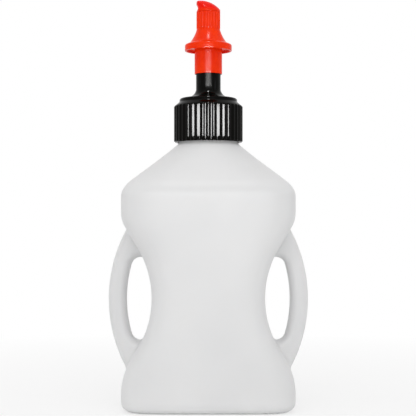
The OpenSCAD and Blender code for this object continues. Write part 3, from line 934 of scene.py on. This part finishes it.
@dataclass
class NozzleSleeve:
    """The red sleeve: a plain collar, a brim with a hollow underside, a bell and a ribbed tip."""

    levels: Levels
    bore_r: float = 16.3
    collar_r: float = 17.9
    brim_r: float = 30.5
    brim_wall: float = 2.6
    bell_r: float = 23.2
    bell_hollow: float = 0.54
    tip_r: float = 14.8
    grip: Ribs = Ribs(count=22, height=0.7, crest=0.10, foot=0.40, marks=16)
    rib_lead: float = 3.0
    tip_bore_r: float = 12.2
    ledge_h: float = 3.5
    ledge_hole_r: float = 8.5

    def outline(self) -> Array:
        """The sleeve's turned outline, up its outside and down its bore."""
        at = self.levels
        under = at.brim + self.brim_wall
        lip = self.brim_r - self.brim_wall
        t = np.linspace(0, 1, 21)[1:-1]
        foot = at.bell + 2
        bell = [(self.bell_r + (self.tip_r - self.bell_r) * s * (1 + self.bell_hollow * (1 - s)),
                 foot + (at.tip - foot) * s, 0.0) for s in t]
        corners = [
            (self.collar_r, at.sleeve_foot, 0.4), (self.collar_r, under, 0.8), (lip, under, 1.2),
            (lip, at.brim, 0.6), (self.brim_r, at.brim, 0.35), (self.brim_r, at.brim + at.brim_h + 2.2, 2.8),
            (self.brim_r - 3.4, at.bell - 0.2, 1.6), (self.bell_r + 1.2, at.bell + 0.6, 1.2), *bell,
            (self.tip_r, at.tip, 1.0), (self.tip_r, at.sleeve_top, 0.3),
            (self.tip_bore_r, at.sleeve_top, 0.4), (self.tip_bore_r, at.ledge + 2 * self.ledge_h, 0.8),
            (self.ledge_hole_r, at.ledge + self.ledge_h, 0.6), (self.ledge_hole_r, at.ledge, 0.4),
            (self.bore_r, at.ledge, 0.4), (self.bore_r, at.sleeve_foot + 0.6, 0.3),
            (self.bore_r + 0.6, at.sleeve_foot, 0.2),
        ]
        return rounded(corners, step=2.2, bends=4)

    def ribs(self, r: Array, z: Array, a: Array) -> Array:
        """The tip's ribs, which rise out of the bell and are sloped off at the top."""
        at = self.levels
        rise = smoothstep(z, at.tip - self.rib_lead, at.tip)
        rise = rise * (1 - smoothstep(z, at.sleeve_top - 0.3, at.sleeve_top + 0.6))
        outside = (r > (self.tip_r + self.tip_bore_r) / 2) & (z > at.tip - self.rib_lead)
        return np.where(outside, np.maximum(r, self.tip_r + self.grip.wave(a) * rise), r)

    def build(self) -> None:
        """Make the sleeve."""
        surface = turned(self.outline(), self.grip.angles(), self.ribs)
        surface.piece("push_down_sleeve", Body.NOZZLE, "nozzle_sleeve", Slot.NOZZLE, GlossRed().material())


@dataclass
class ValveHead:
    """The red head: a leaning dome with a vent notch in its high side, and a plug with a seal's groove."""

    levels: Levels
    head_r: float = 15.5
    head_h: float = 15.4
    head_round: float = 3.0
    dome_r: float = 33.5
    dome_depth: float = 0.65
    dome_shift: float = 10.5
    plug_r: float = 11.9
    plug_h: float = 8.0
    notch_r: float = 4.6
    notch_depth: float = 2.0
    notch_z: float = 5.2
    groove_floor_r: float = 10.35
    rod_r: float = 4.05
    rod_depth: float = 3.0
    vent_r: float = 1.5
    cell: float = 0.5

    def dome(self, x: Array, y: Array, z: Array) -> Array:
        """Distance from a ball squeezed by k in y: (u - r) u / |(x, y / k^2, z)|, with u = |(x, y / k, z)|."""
        along, across = x + self.dome_shift, y / self.dome_depth
        up = z - self.levels.head - self.head_h + self.dome_r
        u = np.sqrt(along**2 + across**2 + up**2)
        steep = np.sqrt(along**2 + (across / self.dome_depth) ** 2 + up**2)
        return (u - self.dome_r) * u / np.maximum(steep, 1e-6)

    def shape(self, x: Array, y: Array, z: Array) -> Array:
        """The head: a drum under the dome, a plug below it, and the cuts for notch, groove, rod and vent."""
        foot = self.levels.head
        out = np.hypot(x, y)
        drum = common(out - self.head_r, z - foot - self.head_h, self.head_round)
        head = common(common(drum, self.dome(x, y, z), 0.9), foot - z, 0.12)
        plug = common(out - self.plug_r, np.abs(z - foot + self.plug_h / 2 - 1) - self.plug_h / 2 - 1, 0.4)
        whole = together(head, plug, 0.3)
        groove = np.maximum(self.groove_floor_r - out, np.abs(z - foot + self.plug_h / 2) - 1.05)
        notch_x = self.head_r + self.notch_r - self.notch_depth
        notch = np.hypot(x + notch_x, z - foot - self.notch_z) - self.notch_r
        rod = np.maximum(out - self.rod_r, z - foot - self.rod_depth)
        vent = np.maximum(np.hypot(y, z - foot - self.notch_z) - self.vent_r, x - 1)
        well = np.maximum(out - self.vent_r, z - foot - self.notch_z)
        for cut, edge in ((groove, 0.2), (notch, 1.2), (rod, 0.2), (vent, 0.3), (well, 0.2)):
            whole = without(whole, cut, edge)
        return whole

    def build(self) -> None:
        """Make the head."""
        foot, step = self.levels.head, self.cell
        reach = self.head_r + 2 * step
        low = (-reach, -reach, foot - self.plug_h - 2 * step)
        surface = net(self.shape, low, (reach, reach, foot + self.head_h + 2 * step), step)
        surface.piece("leaning_head", Body.CAP, "valve_head", Slot.NOZZLE, GlossRed().material())


@dataclass
class ReturnSpring:
    """The steel spring between the spider and the sleeve's ledge, with a closed turn at each end."""

    levels: Levels
    wire_d: float = 1.6
    middle_r: float = 10.4
    open_turns: int = 7
    steps: int = 40
    sides: int = 14

    def build(self) -> None:
        """Make the spring: a round wire along a helix whose pitch is the wire's width in the end turns."""
        foot, top = self.levels.spider_top, self.levels.ledge
        pitch = (top - foot - 3 * self.wire_d) / self.open_turns
        t = np.linspace(0, self.open_turns + 2, (self.open_turns + 2) * self.steps + 1)
        z = foot + self.wire_d / 2 + self.wire_d * np.minimum(t, 1)
        z = z + pitch * np.clip(t - 1, 0, self.open_turns)
        z = z + self.wire_d * np.maximum(0, t - 1 - self.open_turns)
        angle = 2 * np.pi * t
        path = np.stack([self.middle_r * np.cos(angle), self.middle_r * np.sin(angle), z], -1)
        side = np.arange(self.sides) * (2 * np.pi / self.sides)
        section = np.stack([np.cos(side), np.sin(side)], -1) * self.wire_d / 2
        surface = swept(path, section, np.ones((len(path), 1)))
        finish = DrawnMetal("spring_wire", (0.56, 0.55, 0.54), (0.42, 0.41, 0.40), (1, 1, 1)).material()
        piece = surface.piece("coil_spring", Body.CAP, "return_spring", Slot.SPRING, finish)
        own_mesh(piece)


class InnerParts:
    """The small parts that keep their frame meshes and only get a finish."""

    def build(self) -> None:
        """Dress the gasket, the seals, the spider, the rod and the vent tube."""
        rubber = SealRubber().material()
        rod = DrawnMetal("drawn_rod", (0.72, 0.73, 0.74), (0.6, 0.6, 0.6), (1, 1, 0.02))
        finishes = {
            "neck_gasket": rubber,
            "stem_seal_upper": rubber,
            "stem_seal_lower": rubber,
            "head_seal": rubber,
            "valve_spider": GlossBlack().material(),
            "valve_rod": rod.material(),
            "vent_tube": ExtrudedTube().material(),
        }
        for name, finish in finishes.items():
            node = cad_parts[name]
            node.data.materials.clear()
            node.data.materials.append(finish)
            log.info("%s: keeps its frame mesh, finish %s", name, finish.name)


# Studio


@dataclass
class Studio:
    """A pale floor, soft light and the photograph's viewpoint."""

    camera_away: float = 1543.0
    camera_z: float = 223.0
    pixels_wide: float = 416.0
    focal_pixels: float = 1186.9
    axis_x: float = 208.35
    horizon_y: float = 233.0
    floor_half: float = 6000.0
    floor_gap: float = 0.2
    floor_plain: float = 0.6
    world_light: float = 0.74

    def camera(self) -> None:
        """Put the camera in front of the jug, level, with the frame shifted up as in the photograph."""
        data = bpy.data.cameras.new("camera")
        data.sensor_fit = "HORIZONTAL"
        data.sensor_width = 36.0
        data.lens = self.focal_pixels / self.pixels_wide * data.sensor_width
        data.shift_x = (self.pixels_wide / 2 - self.axis_x) / self.pixels_wide
        data.shift_y = (self.horizon_y - self.pixels_wide / 2) / self.pixels_wide
        camera = bpy.data.objects.new("camera", data)
        camera.location = (0, -self.camera_away * MM, self.camera_z * MM)
        camera.rotation_euler = (math.radians(90), 0, 0)
        bpy.context.scene.collection.objects.link(camera)
        bpy.context.scene.camera = camera

    def lamp(self, name: str, radiance: float, wide: float, tall: float, place: Triple,
             aim: Triple, gloss_only: bool = False) -> None:
        """Hang an area lamp.

        Args:
            name: Name of the lamp.
            radiance: How bright it looks; its power is pi times this times its area.
            wide: Its width.
            tall: Its height.
            place: Where it hangs.
            aim: The point that it faces.
            gloss_only: Whether it only shows in glossy surfaces, as a shine, and adds no light to matt ones.
        """
        data = bpy.data.lights.new(name, "AREA")
        data.shape, data.size, data.size_y = "RECTANGLE", wide * MM, tall * MM
        data.energy = math.pi * radiance * data.size * data.size_y
        lamp = bpy.data.objects.new(name, data)
        start, stop = np.array(place) * MM, np.array(aim) * MM
        away = (start - stop) / np.linalg.norm(start - stop)
        lamp.location = start
        lamp.rotation_euler = (math.acos(away[2]), 0, math.atan2(away[0], -away[1]))
        lamp.visible_camera = False
        lamp.visible_diffuse = not gloss_only
        bpy.context.scene.collection.objects.link(lamp)

    def world(self) -> None:
        """White for what the camera, gloss and glass see, and a plain soft level for the light itself."""
        world = bpy.data.worlds.new("studio")
        world.use_nodes = True
        tree = world.node_tree
        tree.nodes.clear()
        rays = tree.nodes.new("ShaderNodeLightPath")
        seen = tree.nodes.new("ShaderNodeMath")
        seen.operation = "MAXIMUM"
        both = tree.nodes.new("ShaderNodeMath")
        both.operation = "MAXIMUM"
        tree.links.new(rays.outputs["Is Camera Ray"], seen.inputs[0])
        tree.links.new(rays.outputs["Is Glossy Ray"], seen.inputs[1])
        tree.links.new(seen.outputs[0], both.inputs[0])
        tree.links.new(rays.outputs["Is Transmission Ray"], both.inputs[1])
        level = tree.nodes.new("ShaderNodeMapRange")
        tree.links.new(both.outputs[0], level.inputs[0])
        level.inputs[3].default_value = self.world_light
        level.inputs[4].default_value = 1.0
        sky = tree.nodes.new("ShaderNodeBackground")
        sky.inputs["Color"].default_value = (1, 1, 1, 1)
        tree.links.new(level.outputs[0], sky.inputs["Strength"])
        out = tree.nodes.new("ShaderNodeOutputWorld")
        tree.links.new(sky.outputs[0], out.inputs[0])
        bpy.context.scene.world = world

    def floor(self) -> None:
        """Lay the pale floor at the jug's foot: it keeps the jug's shadow, and is plain white far away."""
        h = self.floor_half * MM
        mesh = bpy.data.meshes.new("floor")
        z = -self.floor_gap * MM
        mesh.from_pydata([(-h, -h, z), (h, -h, z), (h, h, z), (-h, h, z)], [], [(0, 1, 2, 3)])
        shader = Shader("pale_floor")
        shader.dress(Base_Color=(0.97, 0.97, 0.97, 1), Roughness=0.9, IOR=1.1)
        rays = shader.add("LightPath").outputs
        seen = shader.math("MAXIMUM", rays["Is Camera Ray"], rays["Is Glossy Ray"])
        seen = shader.math("MAXIMUM", seen, rays["Is Transmission Ray"])
        away = shader.add("VectorMath", p_operation="LENGTH", i0=shader.place).outputs["Value"]
        plain = shader.ranged(away, self.floor_plain, 1.0, 0.25, 1.1)
        white = shader.add("Emission", Color=(1, 1, 1, 1), Strength=1.0)
        share = shader.math("MULTIPLY", seen, plain)
        mixed = shader.add("MixShader", i0=share, i1=shader.surface.outputs[0], i2=white.outputs[0])
        shader.tree.links.new(mixed.outputs[0], shader.tree.nodes["Material Output"].inputs[0])
        mesh.materials.append(shader.material)
        floor = bpy.data.objects.new("floor", mesh)
        bpy.context.scene.collection.objects.link(floor)

    def build(self) -> None:
        """Set the studio up."""
        self.camera()
        self.world()
        self.floor()
        self.lamp("top_soft", 0.5, 1400, 1400, (-100, -500, 1700), (0, 0, 250))
        self.lamp("front_soft", 1.3, 2000, 1000, (0, -2200, 900), (0, 0, 250))
        self.lamp("front_strip", 205, 1020, 95, (0, -1300, 484), (0, 0, 365), gloss_only=True)
        self.lamp("collar_glow", 27, 60, 160, (0, -1300, 620), (0, 0, 440), gloss_only=True)
        self.lamp("overhead_strip", 150, 110, 420, (0, -525, 1700), (0, 0, 390), gloss_only=True)
        bpy.context.scene.view_settings.view_transform = "Standard"


def main() -> None:
    """Build the studio and the jug's pieces in order."""
    logging.basicConfig(level=logging.INFO, format="%(message)s")
    levels = Levels()
    Studio().build()
    for part in (JugBody(levels), ScrewCap(levels), NozzleSleeve(levels), ValveHead(levels),
                 ReturnSpring(levels), InnerParts()):
        part.build()


if __name__ == "__main__":
    main()
